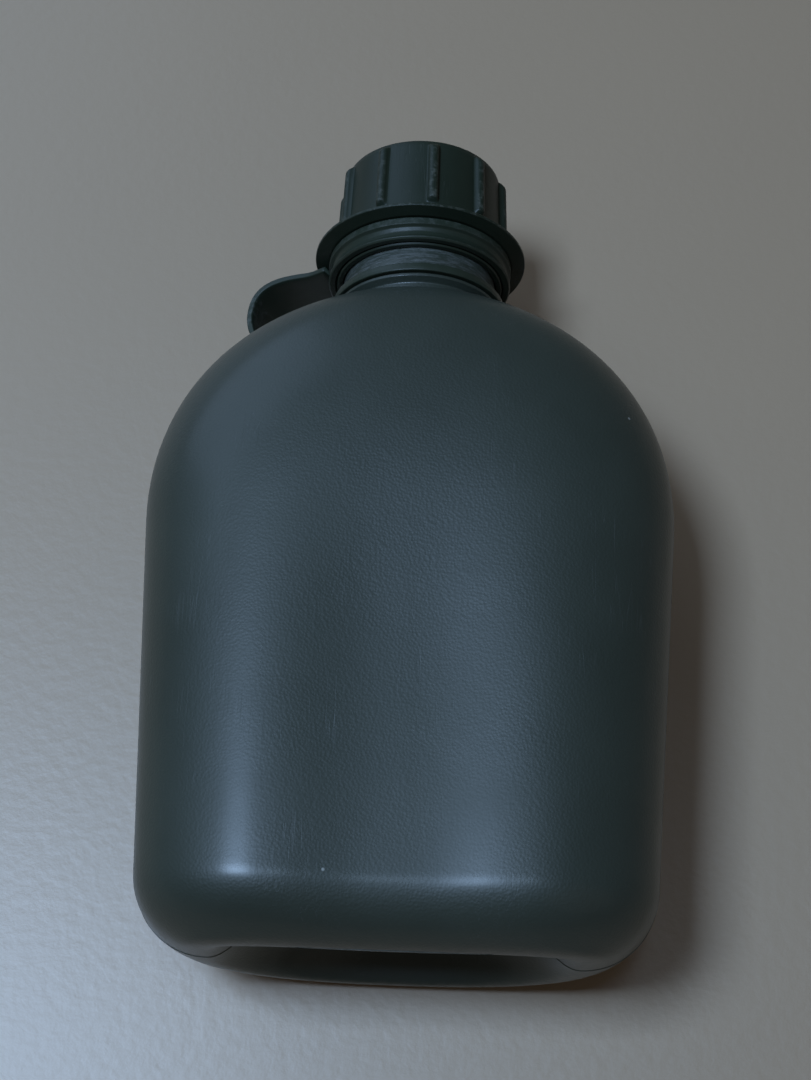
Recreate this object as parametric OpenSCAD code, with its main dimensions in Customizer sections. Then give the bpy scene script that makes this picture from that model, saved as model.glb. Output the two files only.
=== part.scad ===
// A one-quart hip canteen: blow-moulded bottle, screw cap with a gasket, and a moulded
// retaining strap that ties the cap to the neck.
//
// Every piece is drawn upright, with h (height) along +Z, the base at h = 0 and the hollow
// hip face towards -Y. The last step lays the canteen on its rounded back, so that in the
// finished part +Y runs along the neck, +Z comes up out of the hip face and z = 0 is the ground.

/* [Bottle body] */
// Width of the body where the shoulder begins
body_width = 129; // [118:1:138]
// Width of the body at the base, before the corners are rounded
base_width = 115.8; // [104:0.2:124]
// Neck axis to the crest of the two hip-face ridges
front_depth = 34.5; // [30:0.5:36]
// Neck axis to the rounded back
back_depth = 36; // [33:0.5:38]
// Height at which the shoulder starts to close in
shoulder_start = 102; // [92:1:110]
// Height at which the shoulder meets the neck
shoulder_end = 163.2; // [160:0.2:164]
// Depth of the hip hollow between the ridges
valley_depth = 4.6; // [3:0.1:9]
// Half width of the hip hollow
valley_spread = 23.5; // [20:0.5:28]
// Radius of the rounded base along the sides
side_round = 16; // [12:1:18]
// Radius of the rounded base along the hip face
front_round = 17; // [12:1:18]
// Radius of the rounded base along the back
back_round = 7; // [5:0.5:10]
// Wall thickness of the moulding
wall = 1.8; // [1.4:0.1:2.4]

/* [Base pocket] */
// Half width of the pocket moulded into the base
pocket_half_width = 41; // [34:0.5:41.5]
// Depth of that pocket
pocket_depth = 9; // [5:0.5:10]

/* [Neck] */
// Outer radius of the plain neck
neck_radius = 19.9; // [19.5:0.1:20]
// Radius of the mouth
mouth_radius = 16.4; // [14:0.2:16.6]
// Radius of the thin collar that the strap rests on
collar_radius = 21.8; // [21:0.1:22.2]
// Height of the collar's upper face
collar_height = 167.1; // [166:0.1:167.2]
// Axial distance that the cap climbs in one turn
thread_pitch = 5; // [4.5:0.1:6]

/* [Cap] */
// Height of the closed canteen, base to cap
overall_height = 209; // [207.5:0.5:212]
// Outer radius of the cap at its closed end
cap_radius = 21; // [20.9:0.1:21.4]
// Number of grip ribs around the cap
rib_count = 10; // [6:1:14]
// Radius of the cap's brim
brim_radius = 27.8; // [25:0.2:30]

/* [Strap] */
// Outer radius of the strap ring under the brim
cap_ring_radius = 24.1; // [23.5:0.1:25]
// Outer radius of the strap ring around the neck
neck_ring_radius = 22.6; // [22.2:0.1:23]
// Width of the flat strap
strap_width = 14; // [10:1:16]
// Thickness of the flat strap
strap_thickness = 1.8; // [1.5:0.1:2]
// Angle by which the strap loop hangs below the sideways direction
strap_droop = 20; // [0:1:30]

/* [Hidden] */
$fn = 96;
body_colour = [0.17, 0.20, 0.17];
fitting_colour = [0.13, 0.17, 0.13];
eps = 0.05;
// Gap between a moving moulding and the one it turns on
play = 0.3;
// Width lost per millimetre of height towards the base, on each side
taper = (body_width - base_width) / 2 / shoulder_start;
shoulder_half_width = body_width / 2;
// How squarely the section is rounded: 2 is an ellipse
front_power = 2.85;
back_power = 2.15;
// How flat the floor of the hollow is and how steep its sides: 2 is a plain bell
valley_power = 3.4;
// Shoulder outline, a little fuller than a quarter ellipse
shoulder_power = 1.17;
// The hollow starts to fade at valley_top and is gone after valley_fade more
valley_top = 50;
valley_fade = 95;
// The base pocket's outline: nearly straight towards the hip face, fuller than an arc behind
pocket_front_power = 5;
pocket_back_power = 2.6;
ring_points = 48;
inner_ring_points = 36;

// Radius of the shoulder where it runs up under the collar
shoulder_top_radius = collar_radius - 1.3;

// Reach of the base pocket from the neck axis, towards the hip face and the back
pocket_rim = 2;
pocket_front = front_depth - front_round - pocket_rim;
pocket_back = back_depth - back_round - pocket_rim;
// How far the pocket's walls lean in over its depth: at the ends, the hip face and the back
pocket_end_lean = 12;
pocket_front_lean = 3;
pocket_back_lean = 4;

// Neck and thread levels; the moulding's body and its neck meet face to face at neck_split
neck_split = 164.6;
neck_foot_radius = neck_radius + 0.2;
band_top = 177;
rim_height = overall_height - 4.2;
thread_root = 18.2;
thread_crest = 19.4;
thread_start = 181.6;
thread_turns = 1.5;
thread_base_width = 2.2;
thread_tip_width = 1.0;
thread_flank_gap = 1.9;

// Cap levels
cap_foot = 175.4;
cap_bore = 19.75;
cap_top_wall = 2.2;
skirt_radius = 21.4;
cap_low_radius = 21.6;
brim_height = 183.2;
brim_thickness = 0.8;
gasket_thickness = 1.6;
rib_foot = 188.6;
rib_height = 1.7;
rib_half_width = 1.5;
first_rib = -82.6;

// Strap levels
cap_ring_top = 182.1;
cap_ring_foot = 176;
neck_ring_foot = 167.5;
neck_ring_thickness = 2.2;

// ---- small functions ----
// How far a quarter-round edge of radius r has drawn in at height h
function edge_inset(h, r) = h >= r ? 0 : r - sqrt(r * r - (r - h) * (r - h));
// 1 below the top of the hip hollow, falling smoothly to 0 above it
function valley_share(h) = h <= valley_top ? 1 : h >= valley_top + valley_fade ? 0
    : 0.5 + 0.5 * cos(180 * (h - valley_top) / valley_fade);
function signed_power(v, p) = sign(v) * pow(abs(v), p);

// One level of the body: [height, half width, front depth, back depth, roundness]
function lower_level(h) = [h,
    base_width / 2 + taper * h - edge_inset(h, side_round),
    front_depth - edge_inset(h, front_round),
    back_depth - edge_inset(h, back_round),
    0];
function shoulder_level(angle) =
    let (rise = (shoulder_end - shoulder_start) * sin(angle))
    let (share = pow(cos(angle), shoulder_power))
    [shoulder_start + rise,
     shoulder_top_radius + (shoulder_half_width - shoulder_top_radius) * share
         + taper * rise * cos(angle),
     shoulder_top_radius + (front_depth - shoulder_top_radius) * cos(angle),
     shoulder_top_radius + (back_depth - shoulder_top_radius) * cos(angle),
     1 - cos(angle)];

// Levels of the body from the base to the neck
function body_levels(round_steps, straight_steps, shoulder_steps) = [
    for (i = [0:round_steps]) lower_level(side_round * (1 - cos(90 * i / round_steps))),
    for (i = [1:straight_steps])
        lower_level(side_round + (shoulder_start - side_round) * i / straight_steps),
    for (i = [1:shoulder_steps]) shoulder_level(90 * i / shoulder_steps)];

// A point of the section at a level, at an angle measured from +X
function section_point(level, angle, inset) =
    let (front = sin(angle) < 0)
    let (power = (front ? front_power : back_power) * (1 - level[4]) + 2 * level[4])
    let (depth = (front ? level[2] : level[3]) - inset)
    let (x = (level[1] - inset) * signed_power(cos(angle), 2 / power))
    let (y = depth * signed_power(sin(angle), 2 / power))
    let (press = exp(-pow(abs(x) / valley_spread, valley_power)))
    let (valley = front ? valley_depth * valley_share(level[0]) * press : 0)
    [x, y + valley * min(1, depth / front_depth)];

// A closed skin through the levels, one ring of points each
module skin(levels, count, inset, drop) {
    points = [
        for (level = levels)
            for (i = [0:count - 1])
                let (p = section_point(level, (i + 0.5) * 360 / count, inset))
                [p[0], p[1], level[0] + drop]];
    last = (len(levels) - 1) * count;
    faces = [
        [for (i = [0:count - 1]) i],
        for (k = [0:len(levels) - 2])
            for (i = [0:count - 1])
                let (a = k * count + i)
                let (b = k * count + (i + 1) % count)
                each [[a, a + count, b], [b, a + count, b + count]],
        [for (i = [count - 1:-1:0]) last + i]];
    polyhedron(points, faces);
}

// A point on the pocket's outline: nearly square towards the hip face, rounder at the back.
// lean is the share of the walls' full lean, margin grows the outline all round.
function pocket_point(angle, lean, margin) =
    let (front = sin(angle) < 0)
    let (power = front ? pocket_front_power : pocket_back_power)
    let (reach = front ? pocket_front - lean * pocket_front_lean : pocket_back - lean * pocket_back_lean)
    [(pocket_half_width - lean * pocket_end_lean + margin) * signed_power(cos(angle), 2 / power),
     (reach + margin) * signed_power(sin(angle), 2 / power)];

// The pocket moulded up into the base, its walls leaning inwards, grown by a margin
module pocket(margin) {
    module outline(lean)
        polygon([for (i = [0:ring_points - 1]) pocket_point((i + 0.5) * 360 / ring_points, lean, margin)]);
    below = 3;
    hull() {
        translate([0, 0, -below])
            linear_extrude(eps)
            outline(-below / pocket_depth);
        translate([0, 0, pocket_depth + margin - eps])
            linear_extrude(eps)
            outline(1);
    }
}

// A helical ridge of a given number of turns, from radius root to radius tip
module thread_ridge(root, tip, start, turns) {
    steps = 24;
    count = ceil(turns * steps);
    function ridge_fade(k) = min(1, min(k, count - k) / 4);
    points = [
        for (k = [0:count])
            let (a = 360 * k / steps)
            let (h = start + thread_pitch * k / steps)
            let (reach = root + (tip - root) * max(0.12, ridge_fade(k)))
            each [
                for (corner = [[root, -thread_base_width / 2], [reach, -thread_tip_width / 2],
                               [reach, thread_tip_width / 2], [root, thread_base_width / 2]])
                    [corner[0] * cos(a), corner[0] * sin(a), h + corner[1]]]];
    outward = tip > root;
    ring = outward ? [3, 2, 1, 0] : [0, 1, 2, 3];
    faces = [
        [for (i = [0:3]) ring[i]],
        for (k = [0:count - 1])
            for (i = [0:3])
                let (a = 4 * k + ring[i])
                let (b = 4 * k + ring[(i + 1) % 4])
                each [[a, a + 4, b], [b, a + 4, b + 4]],
        [for (i = [3:-1:0]) 4 * count + ring[i]]];
    polyhedron(points, faces);
}

// ---- pieces, upright ----
module bottle_body() color(body_colour) difference() {
    union() {
        skin(body_levels(5, 6, 14), ring_points, 0, 0);
        translate([0, 0, shoulder_end - 8])
            cylinder(r = neck_foot_radius, h = neck_split - shoulder_end + 8);
    }
    difference() {
        skin(body_levels(4, 4, 9), inner_ring_points, wall, wall * 0.4);
        pocket(wall);
        translate([0, 0, -eps])
            cylinder(r = body_width, h = wall + eps, $fn = 8);
        translate([0, 0, shoulder_end - 4])
            cylinder(r = body_width, h = 10, $fn = 8);
    }
    translate([0, 0, shoulder_end - 12])
        cylinder(r = mouth_radius, h = overall_height);
    pocket(0);
}

// The neck finish: the collar that the strap rests on, a plain band, the thread and the mouth
module bottle_neck() color(body_colour) difference() {
    union() {
        rotate_extrude() polygon([
            [0, neck_split],
            [neck_foot_radius, neck_split],
            [neck_foot_radius, collar_height - 1.6],
            [collar_radius, collar_height - 0.8],
            [collar_radius, collar_height],
            [neck_radius, collar_height],
            [neck_radius, band_top - 0.6],
            [neck_radius - 0.6, band_top],
            [thread_root, band_top],
            [thread_root, rim_height - 0.5],
            [thread_root - 0.5, rim_height],
            [0, rim_height]]);
        thread_ridge(thread_root - 0.2, thread_crest, thread_start, thread_turns);
    }
    translate([0, 0, neck_split - 1])
        cylinder(r = mouth_radius, h = overall_height);
}

// One grip rib: a bar with a round nose, its ends sloped back into the cap
module grip_rib() {
    tip = cap_radius + rib_height;
    crown = overall_height - 2;
    intersection() {
        linear_extrude(overall_height)
            polygon(concat(
                [for (a = [-90:15:90])
                    [tip - rib_half_width + rib_half_width * cos(a), rib_half_width * sin(a)]],
                [[cap_radius - 1, rib_half_width], [cap_radius - 1, -rib_half_width]]));
        rotate_extrude() polygon([
            [cap_radius - 1.5, rib_foot],
            [cap_radius, rib_foot],
            [tip + 0.2, rib_foot + 1.4],
            [tip + 0.1, crown - 1.6],
            [cap_radius - 0.3, crown + 0.3],
            [cap_radius - 1.5, crown + 0.3]]);
    }
}

module cap_shell() color(fitting_colour) {
    difference() {
        union() {
            rotate_extrude() polygon([
                [0, cap_foot],
                [skirt_radius + 0.3, cap_foot],
                [skirt_radius + 0.6, cap_foot + 0.3],
                [skirt_radius, cap_foot + 0.9],
                [skirt_radius, brim_height - 0.8],
                [cap_ring_radius, brim_height - 0.8],
                [brim_radius, brim_height],
                [brim_radius, brim_height + brim_thickness],
                [cap_low_radius + 1.5, brim_height + 1.4],
                [cap_low_radius, brim_height + 2.6],
                [cap_radius, overall_height - 2],
                [cap_radius - 0.6, overall_height - 0.6],
                [cap_radius - 2, overall_height],
                [0, overall_height]]);
            for (i = [0:rib_count - 1])
                rotate([0, 0, first_rib + i * 360 / rib_count])
                    grip_rib();
        }
        translate([0, 0, cap_foot - 1])
            cylinder(r = cap_bore, h = overall_height - cap_top_wall - cap_foot + 1);
        translate([0, 0, cap_foot - 1])
            cylinder(r = neck_radius + play, h = 3.6);
    }
    thread_ridge(cap_bore + 0.2, thread_root + play, thread_start - thread_flank_gap, thread_turns - 0.25);
}

module cap_gasket() color("dimgray") {
    top = overall_height - cap_top_wall - eps;
    difference() {
        translate([0, 0, top - gasket_thickness])
            cylinder(r = cap_bore - play, h = gasket_thickness);
        translate([0, 0, top - gasket_thickness - 1])
            cylinder(r = mouth_radius - 2, h = 1.8);
    }
}

module strap_cap_ring() color(fitting_colour) rotate_extrude() polygon([
    [skirt_radius + play, cap_ring_foot + 0.6],
    [skirt_radius + play + 0.6, cap_ring_foot],
    [cap_ring_radius - 0.5, cap_ring_foot],
    [cap_ring_radius, cap_ring_foot + 0.5],
    [cap_ring_radius - 0.5, cap_ring_foot + 1.6],
    [cap_ring_radius - 0.7, cap_ring_foot + 2.8],
    [cap_ring_radius - 0.5, cap_ring_foot + 3.7],
    [cap_ring_radius, cap_ring_top - strap_thickness],
    [cap_ring_radius, cap_ring_top],
    [skirt_radius + play, cap_ring_top]]);

module strap_neck_ring() color(fitting_colour)
    translate([0, 0, neck_ring_foot])
    difference() {
        cylinder(r = neck_ring_radius, h = neck_ring_thickness);
        translate([0, 0, -1])
            cylinder(r = neck_radius + play, h = neck_ring_thickness + 2);
    }

// Centre line of the strap loop as [distance from the neck axis, height]
function bezier(p, t) = pow(1 - t, 3) * p[0] + 3 * t * pow(1 - t, 2) * p[1]
    + 3 * t * t * (1 - t) * p[2] + pow(t, 3) * p[3];
strap_top = cap_ring_top - strap_thickness / 2;
strap_low = neck_ring_foot + neck_ring_thickness / 2;
loop_reach = 45.8;
loop_mid = 171.2;
strap_curves = [
    [[20, strap_top], [34, strap_top + 0.3], [loop_reach, strap_top], [loop_reach, loop_mid]],
    [[loop_reach, loop_mid], [loop_reach, 163], [37, 157.5], [31, 163]],
    [[31, 163], [27.5, 166.2], [26, strap_low], [20, strap_low]]];
strap_steps = 9;
strap_line = [
    for (curve = strap_curves)
        for (i = [0:strap_steps - 1]) bezier(curve, i / strap_steps),
    [20, strap_low]];
function unit(v) = v / norm(v);
function side_of(line, i) =
    let (along = unit(line[min(i + 1, len(line) - 1)] - line[max(i - 1, 0)]))
    [-along[1], along[0]];

module strap_band() color(fitting_colour) {
    half = strap_thickness / 2;
    count = len(strap_line);
    outline = concat(
        [for (i = [0:count - 1]) strap_line[i] + half * side_of(strap_line, i)],
        [for (i = [count - 1:-1:0]) strap_line[i] - half * side_of(strap_line, i)]);
    rotate([0, 0, 180 - strap_droop])
    intersection() {
        difference() {
            rotate([90, 0, 0])
                linear_extrude(strap_width + 8, center = true)
                polygon(outline);
            translate([0, 0, loop_mid])
                cylinder(r = cap_ring_radius + eps, h = 20);
            translate([0, 0, loop_mid - 20])
                cylinder(r = neck_ring_radius, h = 20);
        }
        translate([0, 0, 150])
            linear_extrude(40)
            polygon([
                [18, -strap_width / 2 - 4],
                [24, -strap_width / 2 - 1.8],
                [29, -strap_width / 2],
                [50, -strap_width / 2],
                [50, strap_width / 2],
                [29, strap_width / 2],
                [24, strap_width / 2 + 1.8],
                [18, strap_width / 2 + 4]]);
    }
}

// Lays the upright canteen on its back, centred over the origin
module lie_down()
    translate([0, -overall_height / 2, back_depth])
    rotate([-90, 0, 0])
    children();

lie_down() bottle_body();
lie_down() bottle_neck();
lie_down() cap_shell();
lie_down() cap_gasket();
lie_down() strap_cap_ring();
lie_down() strap_band();
lie_down() strap_neck_ring();
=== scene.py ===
# %% [markdown]
# # A one-quart hip canteen
# This lesson builds an old-fashioned plastic canteen that lies on its back: a kidney-shaped bottle
# with a hollow face for the hip, a pocket moulded up into its base, a ribbed screw cap with a gasket,
# and a strap of the same plastic that loops from the cap to the neck so that the cap is never lost.
# The engineering model is loaded first. Each visible piece is then made over it and stands for the
# plain piece underneath, and all but the strap's band ride on the body that they move with.

import math

import bmesh
import bpy
from mathutils import Matrix, Vector


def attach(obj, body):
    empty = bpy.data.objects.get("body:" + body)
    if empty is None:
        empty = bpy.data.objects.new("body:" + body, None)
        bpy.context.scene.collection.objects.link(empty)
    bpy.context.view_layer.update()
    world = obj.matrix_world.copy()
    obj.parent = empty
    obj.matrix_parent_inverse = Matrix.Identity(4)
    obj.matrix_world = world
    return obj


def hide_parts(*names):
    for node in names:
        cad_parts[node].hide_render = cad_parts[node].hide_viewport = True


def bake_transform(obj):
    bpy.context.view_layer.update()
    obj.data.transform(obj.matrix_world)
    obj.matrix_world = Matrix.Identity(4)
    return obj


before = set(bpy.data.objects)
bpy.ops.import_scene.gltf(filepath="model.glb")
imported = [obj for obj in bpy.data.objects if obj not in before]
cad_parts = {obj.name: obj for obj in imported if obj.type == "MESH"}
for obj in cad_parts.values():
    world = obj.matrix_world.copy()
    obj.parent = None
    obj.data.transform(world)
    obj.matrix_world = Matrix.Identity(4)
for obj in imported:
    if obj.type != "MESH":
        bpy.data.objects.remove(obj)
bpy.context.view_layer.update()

# %% [markdown]
# ## Working upright, in millimetres
# A bottle is easiest to think about standing up: height runs along Z, the hip face looks towards
# -Y, and sizes are whole millimetres. The finished canteen lies down and is measured in metres, so
# one matrix turns every finished mesh onto its back. Modelling lying down would also work, but then
# every profile would have its axes swapped and would be harder to check against a ruler.

# %% Sizes shared by several pieces
OVERALL = 209.0
BACK_DEPTH = 36.0
FRONT_DEPTH = 34.5
NECK_RADIUS = 19.9
THREAD_PITCH = 5.0
LIE_DOWN = Matrix((
    (0.001, 0, 0, 0),
    (0, 0, 0.001, -OVERALL / 2000),
    (0, -0.001, 0, BACK_DEPTH / 1000),
    (0, 0, 0, 1),
))
print("the cap's top lands at", LIE_DOWN @ Vector((0, 0, OVERALL)))

# %% [markdown]
# ## One idea for every moulding: a row of closed sections
# The bottle, the cap, the rings, the strap, even the screw thread, can each be described as a row
# of closed outlines with a skin drawn over them. A lathe or a loft tool would do some of these, but
# not the squarish sections with a hollow on one side. So each section is written down as a few
# numbers, and one Geometry Nodes tree draws the skin. A section has a centre, two directions, a
# half width, a depth on either side and a roundness: 2 is an ellipse, more is squarer.

# %% The numbers of one section
NUMBERS = {
    "half": 1.0, "front": 1.0, "back": 1.0, "front_power": 2.0, "back_power": 2.0,
    "hollow": 0.0, "rib": 0.0, "uneven": 0.0,
}


def section(centre, half, across=(1, 0, 0), away=(0, 1, 0), **others):
    """One closed outline; front and back are the same as the half width unless told otherwise."""
    values = {**NUMBERS, "half": half, "front": half, "back": half, **others}
    return {"centre": centre, "across": across, "away": away, **values}


def round_section(radius, height, **others):
    """One turn of a lathe profile."""
    return section((0, 0, height), max(radius, 0.0), **others)


# %% [markdown]
# Geometry Nodes can't read a Python list, but it can read attributes. So the row of sections
# becomes a chain of points, and each number of a section becomes an attribute of its point.

# %% A chain of points that carries the numbers
def chain_of(name, sections):
    """A mesh of points in order, one for each section, with the section's numbers on it."""
    mesh = bpy.data.meshes.new(name)
    edges = [(i, i + 1) for i in range(len(sections) - 1)]
    mesh.from_pydata([s["centre"] for s in sections], edges, [])
    for key in NUMBERS:
        layer = mesh.attributes.new(key, "FLOAT", "POINT")
        layer.data.foreach_set("value", [float(s[key]) for s in sections])
    for key in ("across", "away"):
        layer = mesh.attributes.new(key, "FLOAT_VECTOR", "POINT")
        layer.data.foreach_set("vector", [float(v) for s in sections for v in s[key]])
    return mesh


# %% [markdown]
# A node tree with fifty Math nodes is hard to read when each is placed by hand. This small class
# lets the tree be written as formulas: adding or multiplying two fields places the Math node and
# its links. The same class serves the materials later on.

# %% Node formulas
class Field:
    """A number that varies over a surface, so that nodes can be written as a formula."""

    def __init__(self, tree, socket):
        self.tree = tree
        self.socket = socket

    def math(self, operation, *others):
        step = self.tree.nodes.new("ShaderNodeMath")
        step.operation = operation
        for slot, value in zip(step.inputs, (self, *others)):
            plug(self.tree, slot, value)
        return Field(self.tree, step.outputs[0])

    def __add__(self, other):
        return self.math("ADD", other)

    def __sub__(self, other):
        return self.math("SUBTRACT", other)

    def __mul__(self, other):
        return self.math("MULTIPLY", other)

    def __truediv__(self, other):
        return self.math("DIVIDE", other)

    def __pow__(self, other):
        return self.math("POWER", other)


def plug(tree, slot, value):
    """Links a field or a socket into a slot, or sets a plain value on it."""
    if isinstance(value, Field):
        tree.links.new(value.socket, slot)
    elif isinstance(value, bpy.types.NodeSocket):
        tree.links.new(value, slot)
    else:
        slot.default_value = value


def place(tree, kind, settings=None, **inputs):
    """Adds a node; inputs are named by their labels, with _ for a space."""
    step = tree.nodes.new(kind)
    for key, value in (settings or {}).items():
        setattr(step, key, value)
    for key, value in inputs.items():
        plug(tree, step.inputs[key.replace("_", " ")], value)
    return step


# %% [markdown]
# ## The skin tree
# The tree makes a grid with one row for each section and one column for each step round it. It
# looks up the section's numbers by row, turns the column into an angle, and works out where that
# point of the outline lies. The hollow of the hip face is a bell curve, flattened at its bottom,
# that is pressed into the front. Grip ribs are half-round bumps at equal angles. The last term is
# a fine noise that keeps a moulding from looking machined. The seam and the poles are welded by
# distance, and the tree ends in Realize Instances and Set Material.

# %% The tree's inputs
skin_tree = bpy.data.node_groups.new("Skin over sections", "GeometryNodeTree")
TREE_INPUTS = {
    "Sections": ("NodeSocketGeometry", None),
    "Columns": ("NodeSocketInt", 96),
    "Hollow Spread": ("NodeSocketFloat", 25.8),
    "Hollow Power": ("NodeSocketFloat", 2.6),
    "Rib Count": ("NodeSocketFloat", 10.0),
    "Rib Half Width": ("NodeSocketFloat", 1.5),
    "First Rib": ("NodeSocketFloat", 0.0),
    "Noise Scale": ("NodeSocketFloat", 0.03),
    "Noise Seed": ("NodeSocketFloat", 1.0),
    "Material": ("NodeSocketMaterial", None),
}
INPUT_ID = {}
for label, (kind, value) in TREE_INPUTS.items():
    item = skin_tree.interface.new_socket(label, in_out="INPUT", socket_type=kind)
    if value is not None:
        item.default_value = value
    INPUT_ID[label] = item.identifier
skin_tree.interface.new_socket("Geometry", in_out="OUTPUT", socket_type="NodeSocketGeometry")
print("skin tree inputs:", list(INPUT_ID))

# %% The grid, and each point's row and column
given = skin_tree.nodes.new("NodeGroupInput").outputs
rows = Field(skin_tree, place(skin_tree, "GeometryNodeAttributeDomainSize",
                              Geometry=given["Sections"]).outputs["Point Count"])
columns = Field(skin_tree, given["Columns"])
grid = place(skin_tree, "GeometryNodeMeshGrid", Vertices_X=columns + 1.0, Vertices_Y=rows)
index = Field(skin_tree, place(skin_tree, "GeometryNodeInputIndex").outputs[0])
column = ((index + 0.5) / rows).math("FLOOR")
row = index - column * rows


# %% Looking up the numbers of a row
def of_row(name, kind="FLOAT"):
    """The value of a named attribute on the chain's point of this row."""
    named = place(skin_tree, "GeometryNodeInputNamedAttribute", {"data_type": kind}, Name=name)
    found = place(skin_tree, "GeometryNodeSampleIndex", {"data_type": kind, "domain": "POINT"},
                  Geometry=given["Sections"], Value=named.outputs["Attribute"], Index=row + 0.1)
    return Field(skin_tree, found.outputs["Value"])


centre_of = place(skin_tree, "GeometryNodeSampleIndex",
                  {"data_type": "FLOAT_VECTOR", "domain": "POINT"},
                  Geometry=given["Sections"], Index=row + 0.1,
                  Value=place(skin_tree, "GeometryNodeInputPosition").outputs[0]).outputs["Value"]
number = {key: of_row(key) for key in NUMBERS}
across_way = of_row("across", "FLOAT_VECTOR").socket
away_way = of_row("away", "FLOAT_VECTOR").socket

# %% The outline of a section
angle = column / columns * math.tau
along_cos = angle.math("COSINE")
along_sin = angle.math("SINE")
in_front = along_sin.math("LESS_THAN", 0.0)
power = number["back_power"] + in_front * (number["front_power"] - number["back_power"])
depth = number["back"] + in_front * (number["front"] - number["back"])
total = along_cos.math("ABSOLUTE") ** power + along_sin.math("ABSOLUTE") ** power
reach = total ** (power ** -1.0 * -1.0)
sideways = number["half"] * reach * along_cos

# %% The hollow of the hip face, and the grip ribs
off_middle = (sideways / Field(skin_tree, given["Hollow Spread"])).math("ABSOLUTE")
press = (off_middle ** Field(skin_tree, given["Hollow Power"]) * -1.0).math("EXPONENT")
inwards = depth * reach * along_sin + in_front * number["hollow"] * press

spacing = Field(skin_tree, given["Rib Count"]) ** -1.0 * math.tau
turn = (angle - Field(skin_tree, given["First Rib"])) / spacing
off_rib = (turn - turn.math("ROUND")) * spacing * number["half"]
nose = (off_rib / Field(skin_tree, given["Rib Half Width"])) ** 2.0
bump = (nose * -1.0 + 1.0).math("MAXIMUM", 0.0) ** 0.45 * number["rib"]

# %% The point in space, with its unevenness
def along(direction, amount):
    """A direction stretched by a field."""
    return place(skin_tree, "ShaderNodeVectorMath", {"operation": "SCALE"},
                 Vector=direction, Scale=amount).outputs["Vector"]


def moved(start, offset):
    """The sum of two vectors."""
    step = place(skin_tree, "ShaderNodeVectorMath", {"operation": "ADD"})
    skin_tree.links.new(start, step.inputs[0])
    skin_tree.links.new(offset, step.inputs[1])
    return step.outputs["Vector"]


smooth_point = moved(moved(centre_of, along(across_way, sideways)), along(away_way, inwards))
noise = place(skin_tree, "ShaderNodeTexNoise", {"noise_dimensions": "4D"}, Vector=smooth_point,
              W=Field(skin_tree, given["Noise Seed"]), Scale=Field(skin_tree, given["Noise Scale"]))
grow = bump + (Field(skin_tree, noise.outputs[0]) - 0.5) * number["uneven"] * 2.0
point = moved(moved(smooth_point, along(across_way, grow * along_cos)),
              along(away_way, grow * along_sin))

# %% Weld, smooth, finish
skinned = place(skin_tree, "GeometryNodeSetPosition", Geometry=grid.outputs["Mesh"], Position=point)
welded = place(skin_tree, "GeometryNodeMergeByDistance", Geometry=skinned.outputs[0], Distance=0.0004)
smooth = place(skin_tree, "GeometryNodeSetShadeSmooth", Geometry=welded.outputs[0])
real = place(skin_tree, "GeometryNodeRealizeInstances", Geometry=smooth.outputs[0])
coated = place(skin_tree, "GeometryNodeSetMaterial", Geometry=real.outputs[0],
               Material=given["Material"])
skin_tree.links.new(coated.outputs[0], skin_tree.nodes.new("NodeGroupOutput").inputs[0])
print("the skin tree has", len(skin_tree.nodes), "nodes")

# %% [markdown]
# The tree is used through one function: it puts the tree on the chain of points, sets the inputs,
# keeps the evaluated result as a plain mesh and lays it on its back. Faces are made to point
# outwards last, because a chain may run up or down.

# %% From a row of sections to a finished piece
def skin(name, sections, material, **sizes):
    """A closed skin over a row of sections, laid down in the canteen's own frame."""
    piece = bpy.data.objects.new(name, chain_of(name, sections))
    bpy.context.scene.collection.objects.link(piece)
    modifier = piece.modifiers.new("Skin", "NODES")
    modifier.node_group = skin_tree
    modifier[INPUT_ID["Material"]] = material
    for label, value in sizes.items():
        modifier[INPUT_ID[label.replace("_", " ")]] = value
    drawn = piece.evaluated_get(bpy.context.evaluated_depsgraph_get())
    mesh = bpy.data.meshes.new_from_object(drawn)
    piece.modifiers.remove(modifier)
    piece.data = mesh
    mesh.name = name
    mesh.transform(LIE_DOWN)
    work = bmesh.new()
    work.from_mesh(mesh)
    bmesh.ops.recalc_face_normals(work, faces=work.faces)
    open_edges = sum(1 for e in work.edges if not e.is_manifold)
    work.to_mesh(mesh)
    work.free()
    print(name, len(mesh.polygons), "faces,", open_edges, "open edges")
    return piece


# %% [markdown]
# Mouldings have no sharp corners. A lathe profile is easiest to write as corners, each with its own
# edge rounding, so this helper turns every corner into a small arc. Two extra points beside each
# arc keep the flats flat when the shading is smooth.

# %% Rounded corners for lathe profiles
def rounded(corners, closed=False, steps=4):
    """Turns (radius, height, rounding) corners into a smooth list of (radius, height)."""
    line = []
    for i, (radius, height, edge) in enumerate(corners):
        here = Vector((radius, height))
        if edge == 0 or (not closed and i in (0, len(corners) - 1)):
            line.append(here)
            continue
        to_last = Vector(corners[i - 1][:2]) - here
        to_next = Vector(corners[(i + 1) % len(corners)][:2]) - here
        half_angle = to_last.angle(to_next) / 2
        cut = min(edge / math.tan(half_angle), 0.4 * to_last.length, 0.4 * to_next.length)
        first, last = here + to_last.normalized() * cut, here + to_next.normalized() * cut
        line.append(first + to_last.normalized() * cut * 0.2)
        for k in range(steps + 1):
            t = k / steps
            line.append(first * (1 - t) ** 2 + here * 2 * t * (1 - t) + last * t ** 2)
        line.append(last + to_next.normalized() * cut * 0.2)
    return line + line[:1] if closed else line


def lathe(corners, closed=False, **others):
    """The sections of a turned shape."""
    return [round_section(p.x, p.y, **others) for p in rounded(corners, closed)]


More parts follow.
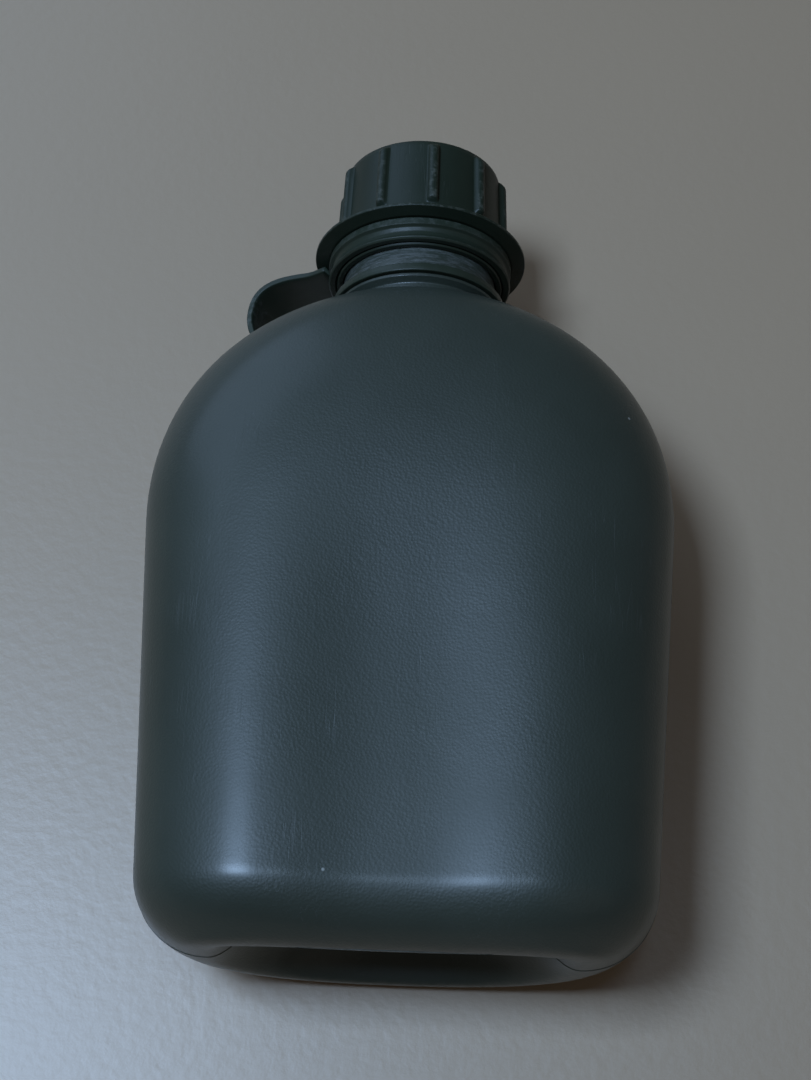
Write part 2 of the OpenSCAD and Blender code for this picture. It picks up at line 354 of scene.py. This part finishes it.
# %% [markdown]
# ## The bottle's outline
# The real bottle is blow-moulded: a soft tube of plastic is pressed by air against the two halves of
# a mould. Its section is a squarish oval, wider than it is deep, with the front pressed in so that
# it sits on a hip. Towards the base each side draws in a little, and the bottom edge is rounded,
# generously at the sides and the front and tightly at the back. The front edge draws in further
# than it rises, so its roll is an ellipse and not a circle. All of that is a rule in the height,
# so it is a function, not a sculpted mesh.

# %% One level of the lower body
SIDE_ROUND, FRONT_ROUND, BACK_ROUND = 16.0, 17.0, 7.0
FRONT_RISE = 13.8
RIM_SQUARENESS, RIM_REACH = 2.2, 0.8
UNEVENNESS = 0.08
BASE_HALF, TAPER = 57.9, 0.0647
SHOULDER_START, SHOULDER_END = 102.0, 163.2
HOLLOW_DEPTH, HOLLOW_TOP, HOLLOW_FADE = 5.5, 50.0, 95.0
FRONT_POWER, BACK_POWER = 2.85, 2.15


def drawn_in(height, rounding, rise):
    """How far a bottom edge that is rounded over a given rise has drawn in at a height."""
    if height >= rise:
        return 0.0
    return rounding * (1 - math.sqrt(1 - (1 - height / rise) ** 2))


def hollow_at(height, front):
    """Depth of the hip hollow: full near the base, then fading out gently into the shoulder."""
    fade = min(max((height - HOLLOW_TOP) / HOLLOW_FADE, 0.0), 1.0)
    return HOLLOW_DEPTH * (0.5 + 0.5 * math.cos(math.pi * fade)) * min(1.0, front / FRONT_DEPTH)


def lower_level(height, wall=0.0):
    """A section of the body below the shoulder; wall draws it in for the inside."""
    front = FRONT_DEPTH - drawn_in(height, FRONT_ROUND, FRONT_RISE)
    half = BASE_HALF + TAPER * height - drawn_in(height, SIDE_ROUND, SIDE_ROUND)
    back = BACK_DEPTH - drawn_in(height, BACK_ROUND, BACK_ROUND)
    squarer = RIM_SQUARENESS * math.exp(-height / RIM_REACH)
    return section(
        (0, 0, height + wall), half - wall, front=front - wall, back=back - wall,
        front_power=FRONT_POWER + squarer, back_power=BACK_POWER + squarer * 0.1,
        hollow=hollow_at(height, front), uneven=0.0 if wall else UNEVENNESS)


print("half width where the shoulder starts:", round(lower_level(SHOULDER_START)["half"], 2))

# %% [markdown]
# The shoulder closes from the wide oval to the round neck along a quarter of an ellipse, a little
# fuller than a true one across the width. Its sections become rounder on the way up.

# %% One level of the shoulder
SHOULDER_POWER = 1.17
CROWN_RADIUS = 20.5


def shoulder_level(angle, wall=0.0):
    """A section of the shoulder, from angle 0 at its start to 90 degrees under the neck."""
    share = math.cos(math.radians(angle))
    rise = (SHOULDER_END - SHOULDER_START) * math.sin(math.radians(angle))
    height = SHOULDER_START + rise
    widest = BASE_HALF + TAPER * SHOULDER_START
    half = CROWN_RADIUS + (widest - CROWN_RADIUS) * share ** SHOULDER_POWER + TAPER * rise * share
    front = CROWN_RADIUS + (FRONT_DEPTH - CROWN_RADIUS) * share
    back = CROWN_RADIUS + (BACK_DEPTH - CROWN_RADIUS) * share
    return section(
        (0, 0, height - wall * (1 - share)), half - wall, front=front - wall, back=back - wall,
        front_power=2 + (FRONT_POWER - 2) * share, back_power=2 + (BACK_POWER - 2) * share,
        hollow=hollow_at(height, front), uneven=0.0 if wall else UNEVENNESS * share)


print("half width half way up the shoulder:", round(shoulder_level(30)["half"], 1))

# %% [markdown]
# The pocket in the base is a scoop: its end walls run up in a lazy S, its front and back walls are
# steep. A cosine gives the S, and because the same share of it widens the outline by a lot at the
# ends and by little at the front, one formula makes both kinds of wall.

# %% One level of the base pocket
POCKET_DEPTH = 9.0
ROOF_HALF, ROOF_FRONT, ROOF_BACK = 27.0, 12.3, 22.5
LEAN_HALF, LEAN_FRONT, LEAN_BACK = 14.6, 3.7, 5.2


def pocket_level(share, wall=0.0):
    """A section of the pocket's wall, from share 0 at its floor to 1 at the rim of the base."""
    height = POCKET_DEPTH * (0.5 + 0.5 * math.cos(math.pi * share))
    return section(
        (0, 0, height + wall), ROOF_HALF + LEAN_HALF * share + wall * 0.8,
        front=ROOF_FRONT + LEAN_FRONT * share + wall * 0.9,
        back=ROOF_BACK + LEAN_BACK * share + wall * 0.9,
        front_power=4.4 + share, back_power=2.3 + 0.2 * share, uneven=0.0 if wall else 0.1)


print("the pocket's rim is", round(2 * pocket_level(1.0)["half"], 1), "mm wide")

# %% [markdown]
# Now the whole moulding is one row of sections: from the middle of the pocket's roof, out to the
# rim, up the sides, over the shoulder and the neck to the mouth, then down the bore and back along
# the inside. The wall is then really there, 1.8 mm of it, and the skin is a single closed surface.

# %% The bottle's row of sections
WALL = 1.8
MOUTH_RADIUS = 16.4
pocket_roof = [pocket_level(0.0) | {key: pocket_level(0.0)[key] * share
                                   for key in ("half", "front", "back")}
               for share in (0.0, 0.25, 0.5, 0.75, 0.92)]
pocket_wall = [pocket_level(i / 16) for i in range(17)]
bottom_edge = [lower_level(SIDE_ROUND * (1 - math.cos(math.radians(3 * i)))) for i in range(31)]
straight = [lower_level(SIDE_ROUND + (SHOULDER_START - SIDE_ROUND) * i / 16) for i in range(1, 17)]
shoulder = [shoulder_level(a) for a in range(3, 88, 3)]
neck = lathe([
    (20.9, 163.25, 0), (20.05, 163.7, 0.6), (20.0, 165.4, 0.5), (21.8, 166.3, 0.25),
    (21.8, 167.1, 0.2), (NECK_RADIUS, 167.1, 0.25), (NECK_RADIUS, 176.5, 0.3), (19.2, 177.1, 0.25),
    (18.2, 177.3, 0.3), (18.2, 204.8, 0.5), (MOUTH_RADIUS, 204.8, 0.4), (MOUTH_RADIUS, 160.0, 2.0),
])
outside = pocket_roof + pocket_wall + bottom_edge + straight + shoulder
inside = ([shoulder_level(a, WALL) for a in range(78, -1, -6)]
          + [lower_level(h, WALL) for h in (98, 80, 60, 40, 24, 16, 9, 4.5, 1.8, 0.6)]
          + [pocket_level(i / 5, WALL) for i in range(4, -1, -1)]
          + [round_section(0, POCKET_DEPTH + WALL)])
print(len(outside), "levels outside,", len(neck), "on the neck,", len(inside), "inside")

# %% [markdown]
# ## Plastics
# The bottle is one olive-grey polyethylene with a fine pebbled grain from the mould. It is dull in
# its depth with a waxy skin, so a rough base carries a thin, glossier coat: the wide sheen comes
# from the one and the small bright spots from the other. A single roughness gives only one of the
# two. A wave of larger noise lets the roughness and the colour drift, because years of handling
# polish some parts and dull others. Two kinds of damage sit on top: long thin scratches, which are
# stretched noise cut to its narrow crests, and pale specks, which are the centres of a few Voronoi
# cells. Everything reads Object coordinates, so it stays with the piece.

# %% Helpers for materials
def plastic(name, roughness, specular=0.5):
    """A new material, its tree and its shader, with the plain numbers set."""
    material = bpy.data.materials.new(name)
    material.use_nodes = True
    shader = material.node_tree.nodes["Principled BSDF"]
    shader.inputs["Roughness"].default_value = roughness
    shader.inputs["Specular IOR Level"].default_value = specular
    return material, material.node_tree, shader


def object_space(tree, size=(1, 1, 1), turn=(0, 0, 0), shift=(0, 0, 0)):
    """Object coordinates, stretched, turned or moved."""
    here = place(tree, "ShaderNodeTexCoord").outputs["Object"]
    mapping = place(tree, "ShaderNodeMapping", Vector=here, Scale=size, Rotation=turn, Location=shift)
    return mapping.outputs["Vector"]


def cloud(tree, where, scale, detail=3.0, roughness=0.55):
    """Noise between 0 and 1."""
    step = place(tree, "ShaderNodeTexNoise", Vector=where, Scale=scale, Detail=detail,
                 Roughness=roughness)
    return Field(tree, step.outputs[0])


def ramp(tree, value, low, high, start=0.0, end=1.0):
    """Maps a field from low..high to start..end and holds it there."""
    step = place(tree, "ShaderNodeMapRange", Value=value, From_Min=low, From_Max=high,
                 To_Min=start, To_Max=end)
    return Field(tree, step.outputs[0])


def mix_colour(tree, share, first, second):
    """A blend of two colours by a field."""
    step = tree.nodes.new("ShaderNodeMix")
    step.data_type = "RGBA"
    plug(tree, step.inputs["Factor"], share)
    for slot, colour in ((step.inputs[6], first), (step.inputs[7], second)):
        plug(tree, slot, colour if isinstance(colour, bpy.types.NodeSocket) else (*colour, 1.0))
    return step.outputs[2]


def bumps(tree, shader, *layers):
    """Stacks height fields, each with its depth in metres, into the shader's normal."""
    below = None
    for height, size in layers:
        step = place(tree, "ShaderNodeBump", Height=height, Distance=size, Strength=1.0)
        if below is not None:
            tree.links.new(below, step.inputs["Normal"])
        below = step.outputs["Normal"]
    tree.links.new(below, shader.inputs["Normal"])


# %% Scratches and specks, used by several finishes
def scratches(tree, turn, scale, cut):
    """Thin lines: noise stretched twenty-five times along one way, cut to its narrow crests."""
    lines = cloud(tree, object_space(tree, (1.0, 0.04, 1.0), (0, 0, turn)), scale, 2.0)
    patches = cloud(tree, object_space(tree, shift=(turn, 0, 0)), 45.0, 1.0)
    crest = ramp(tree, (lines - 0.5).math("ABSOLUTE"), 0.0, cut, 1.0, 0.0)
    return crest * ramp(tree, patches, 0.60, 0.74)


def specks(tree, scale, size):
    """A few pale dots: the middles of those Voronoi cells whose own random colour is high."""
    cells = place(tree, "ShaderNodeTexVoronoi", Vector=object_space(tree), Scale=scale)
    dot = ramp(tree, Field(tree, cells.outputs["Distance"]), size * 0.5, size, 1.0, 0.0)
    chosen = place(tree, "ShaderNodeSeparateColor", Color=cells.outputs["Color"])
    return dot * Field(tree, chosen.outputs[0]).math("GREATER_THAN", 0.86)


# %% The bottle's pebbled plastic
bottle_plastic, tree, shader = plastic("bottle plastic, pebbled satin", 0.4)
here = object_space(tree)
drift = cloud(tree, here, 22.0, 3.0)
pebble = place(tree, "ShaderNodeTexVoronoi", {"feature": "SMOOTH_F1"}, Vector=here,
               Scale=1600.0, Smoothness=0.6)
grain = Field(tree, pebble.outputs["Distance"])
fine = cloud(tree, here, 2600.0, 2.0)
wave = cloud(tree, here, 60.0, 2.0)
long_marks = scratches(tree, 0.7, 420.0, 0.012).math("MAXIMUM", scratches(tree, -1.1, 380.0, 0.01))
dots = specks(tree, 75.0, 0.035)

# %% Its colour, with the scuffed band under the cap and the worn rim of the base
place_on = place(tree, "ShaderNodeSeparateXYZ", Vector=here)
up_the_neck = Field(tree, place_on.outputs["Y"])
scuff_starts = ramp(tree, up_the_neck, 0.0624, 0.0630)
scuffed = scuff_starts * ramp(tree, up_the_neck, 0.0722, 0.0730, 1.0, 0.0)
scuff_lines = cloud(tree, object_space(tree, (1.0, 9.0, 1.0)), 260.0, 4.0, 0.7)
scuff = scuffed * ramp(tree, scuff_lines, 0.46, 0.64)
rubbed = ramp(tree, cloud(tree, here, 400.0), 0.35, 0.6)
worn_rim = ramp(tree, up_the_neck, -0.1036, -0.1044) * rubbed
base = mix_colour(tree, ramp(tree, drift, 0.3, 0.7), (0.027, 0.036, 0.027), (0.034, 0.044, 0.033))
base = mix_colour(tree, scuff * 0.7, base, (0.12, 0.13, 0.125))
base = mix_colour(tree, worn_rim * 0.35, base, (0.09, 0.085, 0.07))
base = mix_colour(tree, long_marks * 0.35, base, (0.085, 0.095, 0.09))
base = mix_colour(tree, dots, base, (0.26, 0.27, 0.25))
tree.links.new(base, shader.inputs["Base Color"])

# %% Its gloss and grain
dullness = ramp(tree, drift, 0.25, 0.75, 0.47, 0.56) + scuff * 0.12
plug(tree, shader.inputs["Roughness"], dullness + ramp(tree, wave, 0.3, 0.7, -0.02, 0.03))
shader.inputs["Coat Weight"].default_value = 0.42
shader.inputs["Coat Roughness"].default_value = 0.25
bumps(tree, shader, (wave, 0.00012), (grain, 0.00005), (fine, 0.00001),
      (scuff * scuff_lines - long_marks, 0.00003))
print(bottle_plastic.name, "has", len(tree.nodes), "nodes")

# %% [markdown]
# The cap and the strap are moulded from a smoother, slightly greener plastic. Their grain is finer,
# so they look darker and cleaner, and wear shows on what sticks out: the crests of the ribs, the
# edge of the brim and the outside of the strap's loop. How far a point is from the neck's axis
# says how exposed it is, so no mask has to be painted.

# %% The smoother plastic of the fittings
def fitting_plastic(name, dark, light, roughness, crests, edge, wear_colour):
    """Satin moulded plastic, worn between two distances from the neck's axis and past an edge."""
    material, tree, shader = plastic(name, roughness, 0.4)
    here = object_space(tree)
    sheen = cloud(tree, here, 40.0, 3.0)
    skin_grain = cloud(tree, here, 1900.0, 3.0)
    from_axis = object_space(tree, shift=(0, 0, -BACK_DEPTH / 1000))
    around = place(tree, "ShaderNodeSeparateXYZ", Vector=from_axis)
    sideways_off, upwards_off = (Field(tree, around.outputs[way]) ** 2.0 for way in "XZ")
    off_axis = (sideways_off + upwards_off) ** 0.5
    patchy = ramp(tree, cloud(tree, here, 520.0, 4.0, 0.7), 0.48, 0.62)
    on_crest = ramp(tree, off_axis, crests[0], crests[0] + 0.0006)
    on_crest = on_crest * ramp(tree, off_axis, crests[1], crests[1] + 0.0004, 1.0, 0.0)
    wear = on_crest.math("MAXIMUM", ramp(tree, off_axis, edge, edge + 0.0003)) * patchy
    chips = specks(tree, 150.0, 0.06)
    marks = scratches(tree, 0.4, 700.0, 0.012)
    colour = mix_colour(tree, ramp(tree, sheen, 0.3, 0.7), dark, light)
    colour = mix_colour(tree, wear * 0.75, colour, wear_colour)
    colour = mix_colour(tree, marks * 0.4, colour, wear_colour)
    colour = mix_colour(tree, chips * 0.8, colour, (0.16, 0.17, 0.14))
    tree.links.new(colour, shader.inputs["Base Color"])
    plug(tree, shader.inputs["Roughness"],
         ramp(tree, sheen, 0.25, 0.75, roughness - 0.05, roughness + 0.06) + wear * 0.1)
    bumps(tree, shader, (sheen, 0.0003), (skin_grain, 0.00003), (wear - marks, 0.00004))
    print(name, "has", len(tree.nodes), "nodes")
    return material


cap_plastic = fitting_plastic(
    "cap plastic, smooth satin", (0.012, 0.020, 0.012), (0.016, 0.025, 0.015), 0.46,
    crests=(0.0222, 0.0232), edge=0.0275, wear_colour=(0.075, 0.082, 0.065))
strap_plastic = fitting_plastic(
    "strap plastic, satin olive", (0.020, 0.029, 0.019), (0.027, 0.037, 0.024), 0.44,
    crests=(0.0238, 0.0242), edge=0.0440, wear_colour=(0.085, 0.095, 0.08))

# %% [markdown]
# The gasket is a flat ring of black rubber. It never shows unless the cap is off, but it gets its
# own finish all the same: matt, with a dusty bloom.

# %% The gasket's rubber
gasket_rubber, tree, shader = plastic("gasket rubber, matt", 0.7, 0.35)
here = object_space(tree)
bloom = cloud(tree, here, 150.0, 4.0)
dusty = mix_colour(tree, ramp(tree, bloom, 0.4, 0.7), (0.018, 0.018, 0.018), (0.045, 0.044, 0.042))
tree.links.new(dusty, shader.inputs["Base Color"])
plug(tree, shader.inputs["Roughness"], ramp(tree, bloom, 0.3, 0.7, 0.62, 0.8))
bumps(tree, shader, (cloud(tree, here, 1500.0), 0.00004), (bloom, 0.0001))
print(gasket_rubber.name, "has", len(tree.nodes), "nodes")

# %% [markdown]
# ## The bottle
# With the sections and the plastic ready, the bottle is one call. Its columns are dense enough for
# the tight corners of the pocket.

# %% Skin the bottle
bottle = skin("bottle", outside + neck + inside, bottle_plastic, Columns=224, Noise_Scale=0.035)

# %% [markdown]
# The screw thread is a ridge of rounded V section that follows a helix round the neck. It is the
# same idea again: its sections sit on the helix, with "across" pointing out from the axis and
# "away" up it. The ridge grows from nothing and fades to nothing over a few sections.

# %% Sections along a helix
def helix(radius, reach, start, turns, steps=40):
    """The sections of a thread ridge that stands out by reach, or inwards if reach is negative."""
    last = round(turns * steps)
    ridge = []
    for k in range(last + 1):
        turn = math.tau * k / steps
        out = (math.cos(turn), math.sin(turn), 0.0)
        fade = min(1.0, min(k, last - k) / 5) ** 0.6
        ridge.append(section(
            (out[0] * radius, out[1] * radius, start + THREAD_PITCH * k / steps), abs(reach) * fade,
            across=out, away=(0, 0, 1), front=1.05 * fade, back=1.05 * fade,
            front_power=1.5, back_power=1.5))
    return ridge


neck_thread = skin("neck_thread", helix(18.1, 1.3, 181.6, 1.5), bottle_plastic, Columns=20)

# %% [markdown]
# Blow moulds open along the widest line of the bottle, and a thin raised line is left there: up
# both sides, round the two lobes of the base and up the end walls of the pocket. It follows the
# bottle's own sections at their widest point, so its path is read off the same row.

# %% The parting line
def parting_line(levels, bead=0.34, proud=0.16):
    """A flat bead on the two widest lines of the bottle, through the pocket from side to side."""
    right = [Vector((s["half"], 0.0, s["centre"][2])) for s in levels if s["half"] > 0.5]
    path = [Vector((-p.x, 0.0, p.z)) for p in reversed(right)] + right
    beads = []
    for i, point in enumerate(path):
        way = (path[min(i + 1, len(path) - 1)] - path[max(i - 1, 0)]).normalized()
        out = Vector((way.z, 0.0, -way.x))
        size = 0.0 if i in (0, len(path) - 1) else 1.0
        beads.append(section(point, proud * size, across=out, away=(0, 1, 0),
                             front=bead * size, back=bead * size))
    return beads


seam = skin("parting_line", parting_line(outside), bottle_plastic, Columns=12)

# %% [markdown]
# ## The cap
# The cap is a cup with a flat end, ten narrow grip ribs, a wide thin brim that keeps the strap's
# ring on, and a skirt below it with a snap bead. From the crown the profile runs down the outside
# and back up the bore. The ribs are bumps that the skin tree adds where a section asks for them,
# so the outer wall gets extra sections where the ribs begin and end.

# %% The cap's profile and ribs
CAP_RADIUS, SKIRT_RADIUS, BRIM_RADIUS = 21.0, 21.4, 27.8
RIB_HEIGHT, RIB_FOOT, RIB_TOP = 1.7, 188.6, 206.9


def rib_share(height):
    """How much of the rib stands at a height: a short slope at the foot, an arc at the crown."""
    if height <= RIB_FOOT or height >= RIB_TOP:
        return 0.0
    foot = min(1.0, (height - RIB_FOOT) / 1.1)
    crown = min(1.0, (RIB_TOP - height) / 2.0)
    return foot * math.sqrt(crown * (2 - crown))


wall_levels = [(CAP_RADIUS + 0.6 * (206.8 - h) / 21.0, h) for h in
               [206.75, 206.5, 206.2, 205.8, 205.3, 204.9, 204] + list(range(202, 190, -2))
               + [190, 189.7, 189.4, 189.1, 188.8, 188.6, 188.4, 188]]
cap_sections = (
    lathe([(0, OVERALL, 0), (19.2, OVERALL, 0.9), (20.6, 208.3, 0.7), (21.0, 206.8, 0)], uneven=0.03)
    + [round_section(r, h, rib=RIB_HEIGHT * rib_share(h), uneven=0.03) for r, h in wall_levels]
    + lathe([(21.58, 187.5, 0), (21.6, 185.9, 1.0), (23.4, 184.5, 1.2), (BRIM_RADIUS, 184.0, 0.3),
             (BRIM_RADIUS, 183.2, 0.25), (24.4, 182.45, 0.3), (SKIRT_RADIUS, 182.45, 0.3),
             (SKIRT_RADIUS, 176.5, 0.2), (21.8, 176.1, 0.15), (21.5, 175.6, 0.2), (20.2, 175.6, 0.3),
             (20.2, 178.0, 0.2), (19.75, 178.2, 0.2), (19.75, 206.8, 0.6), (0, 206.8, 0)],
            uneven=0.05))
cap = skin("cap", cap_sections, cap_plastic, Columns=540, Rib_Count=10.0, Rib_Half_Width=1.45,
           First_Rib=math.radians(-82.6), Noise_Scale=0.45)
cap_thread = skin("cap_thread", helix(19.85, -1.35, 179.7, 1.25), cap_plastic, Columns=20)

# %% The gasket
gasket = skin("gasket", lathe([(14.4, 205.15, 0.2), (19.4, 205.15, 0.3), (19.4, 206.7, 0.3),
                               (14.4, 206.7, 0.2)], closed=True), gasket_rubber, Columns=96)

# %% [markdown]
# ## The strap
# The strap is one moulding of the same plastic: a ring with a waisted outer face that turns freely
# on the cap's skirt, a flat band that loops out to the side, and a thinner ring round the neck. Its
# two rings move with different parts, so it is made in three pieces that meet inside the rings.

# %% The two rings
cap_ring = skin("strap_cap_ring", lathe([
    (21.7, 176.5, 0.2), (22.3, 176.0, 0.2), (23.6, 176.0, 0.2), (24.1, 176.5, 0.3), (23.2, 177.6, 0.6),
    (22.9, 178.7, 0.8), (23.2, 179.8, 0.6), (24.07, 180.3, 0.2), (24.1, 182.1, 0.25),
    (21.7, 182.1, 0.2)], closed=True, uneven=0.05), strap_plastic, Columns=256, Noise_Scale=0.5)
neck_ring = skin("strap_neck_ring", lathe([
    (20.25, 167.5, 0.2), (22.55, 167.5, 0.3), (22.6, 168.4, 0.2), (22.45, 169.7, 0.3),
    (20.25, 169.7, 0.2)], closed=True, uneven=0.13), strap_plastic, Columns=256, Noise_Scale=0.6)

# %% [markdown]
# The band follows three Bezier curves in a plane through the neck's axis, drooping a little below the
# sideways direction because it rests near the table. It widens into the rings at both ends, as
# mouldings do where a thin strip meets a thick one. One end meets the cap's ring and the other the
# neck's, and the finished mesh is baked where it lies.

# %% The band's path
STRAP_TOP, STRAP_LOW = 181.2, 168.6
STRAP_CURVES = [
    [(22.4, STRAP_TOP), (32, STRAP_TOP), (46, 185.2), (46, 172)],
    [(46, 172), (46, 163.5), (37, 157.5), (31, 163)],
    [(31, 163), (27.5, 166.2), (26, STRAP_LOW), (21.2, STRAP_LOW)],
]
STRAP_DROOP = math.radians(158)
STRAP_OUT = Vector((math.cos(STRAP_DROOP), math.sin(STRAP_DROOP), 0.0))
STRAP_SIDE = Vector((-STRAP_OUT.y, STRAP_OUT.x, 0.0))


def bezier(points, t):
    """A point on a cubic Bezier curve of (distance from the axis, height)."""
    p = [Vector(q) for q in points]
    return (p[0] * (1 - t) ** 3 + p[1] * 3 * t * (1 - t) ** 2 + p[2] * 3 * t * t * (1 - t)
            + p[3] * t ** 3)


band_line = [bezier(c, k / 28) for c in STRAP_CURVES for k in range(28)] + [Vector((21.2, STRAP_LOW))]
band_length = sum((b - a).length for a, b in zip(band_line, band_line[1:]))
print("the band is", round(band_length, 1), "mm long along its middle")

# %% The band
BAND_HALF, BAND_FLARE, BAND_THICKNESS = 8.0, 4.0, 1.8
band_sections = []
for i, spot in enumerate(band_line):
    way = (band_line[min(i + 1, len(band_line) - 1)] - band_line[max(i - 1, 0)]).normalized()
    flare = max(0.0, (29.5 - spot.x) / 11) ** 1.3
    end = 0.0 if i in (0, len(band_line) - 1) else 1.0
    band_sections.append(section(
        STRAP_OUT * spot.x + Vector((0, 0, spot.y)), (BAND_HALF + BAND_FLARE * flare) * end,
        across=STRAP_SIDE, away=STRAP_OUT * -way.y + Vector((0, 0, way.x)),
        front=BAND_THICKNESS / 2 * end, back=BAND_THICKNESS / 2 * end,
        front_power=8.0, back_power=8.0, uneven=0.10 * end))
band = skin("strap_band", band_sections, strap_plastic, Columns=72, Noise_Scale=0.35)

# %% [markdown]
# ## What moves with what
# The cap turns and rises on its thread, the gasket rises with it, and the strap's rings swivel. Each
# of these pieces rides on its body and stands for its plain engineering piece, and the band is baked
# where it lies.

# %% Riding and replacing
for piece, body, node, slot in (
    (bottle, "bottle", "bottle_body", "bottle_plastic"),
    (neck_thread, "bottle", "bottle_neck", "bottle_plastic"),
    (seam, "bottle", None, "bottle_plastic"),
    (cap, "cap", "cap_shell", "cap_plastic"),
    (cap_thread, "cap", None, "cap_plastic"),
    (gasket, "gasket", "cap_gasket", "gasket_rubber"),
    (cap_ring, "strap_top", "strap_cap_ring", "strap_plastic"),
    (neck_ring, "strap_base", "strap_neck_ring", "strap_plastic"),
):
    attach(piece, body)
    if node:
        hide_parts(node)
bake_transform(band)
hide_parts("strap_band")

# %% [markdown]
# ## Floor, light and camera
# A plain pale floor runs far past the view. One cool soft light stands high on the left, as a
# window would, and a much weaker one hangs overhead. A wide one beyond the cap is the sky, and a
# faint warm one on the right, with a dim room behind it, fills the shadows. The camera looks
# steeply down from beyond the base, from less than half a metre away, so the base looks larger
# than the cap.

# %% The floor
floor_mesh = bpy.data.meshes.new("floor")
floor_mesh.from_pydata([(-3, -3, 0), (3, -3, 0), (3, 3, 0), (-3, 3, 0)], [], [(0, 1, 2, 3)])
floor = bpy.data.objects.new("floor", floor_mesh)
bpy.context.scene.collection.objects.link(floor)
floor_paint, tree, shader = plastic("pale floor", 0.42, 0.9)
haze = cloud(tree, object_space(tree), 6.0)
paint = mix_colour(tree, haze, (0.41, 0.30, 0.20), (0.45, 0.33, 0.22))
tree.links.new(paint, shader.inputs["Base Color"])
bumps(tree, shader, (cloud(tree, object_space(tree), 300.0), 0.0001))
floor_mesh.materials.append(floor_paint)

# %% The lights
def soft_light(name, towards, distance, size, power, colour):
    """A square lamp in a direction from the canteen, facing it."""
    lamp = bpy.data.lights.new(name, "AREA")
    lamp.shape = "SQUARE"
    lamp.size = size
    lamp.energy = power
    lamp.color = colour
    holder = bpy.data.objects.new(name, lamp)
    way = Vector(towards).normalized()
    holder.location = way * distance
    holder.rotation_euler = way.to_track_quat("Z", "Y").to_euler()
    bpy.context.scene.collection.objects.link(holder)
    return holder


soft_light("window", (-0.35, -0.04, 0.94), 1.3, 0.34, 12.5, (0.47, 0.68, 1.0))
soft_light("overhead", (0.01, -0.05, 1.0), 1.3, 0.2, 0.8, (0.5, 0.72, 1.0))
soft_light("sky", (-0.6, 0.75, 0.5), 1.8, 1.2, 6.0, (0.5, 0.7, 1.0))
soft_light("fill", (0.6, -0.5, 0.6), 1.6, 1.2, 0.4, (1.0, 0.9, 0.8))
world = bpy.data.worlds.new("dim room")
bpy.context.scene.world = world
world.use_nodes = True
world.node_tree.nodes["Background"].inputs["Color"].default_value = (1.0, 0.95, 0.9, 1.0)
world.node_tree.nodes["Background"].inputs["Strength"].default_value = 0.06
bpy.context.scene.view_settings.view_transform = "Standard"

# %% The camera
elevation, yaw = math.radians(66.23), math.radians(2.07)
look = Vector((-math.sin(yaw) * math.cos(elevation), math.cos(yaw) * math.cos(elevation),
               -math.sin(elevation)))
right = Vector((math.cos(yaw), math.sin(yaw), 0.0))
up = right.cross(look)
camera_data = bpy.data.cameras.new("camera")
camera_data.sensor_width = 36.0
camera_data.lens = 56.667
camera_data.clip_start = 0.01
camera = bpy.data.objects.new("camera", camera_data)
camera.matrix_world = Matrix.Translation((0.0051, -0.1706, 0.4209)) @ Matrix(
    (right, up, -look)).transposed().to_4x4()
bpy.context.scene.collection.objects.link(camera)
bpy.context.scene.camera = camera
print("the camera is", round(camera.location.length, 3), "m from the middle of the canteen")
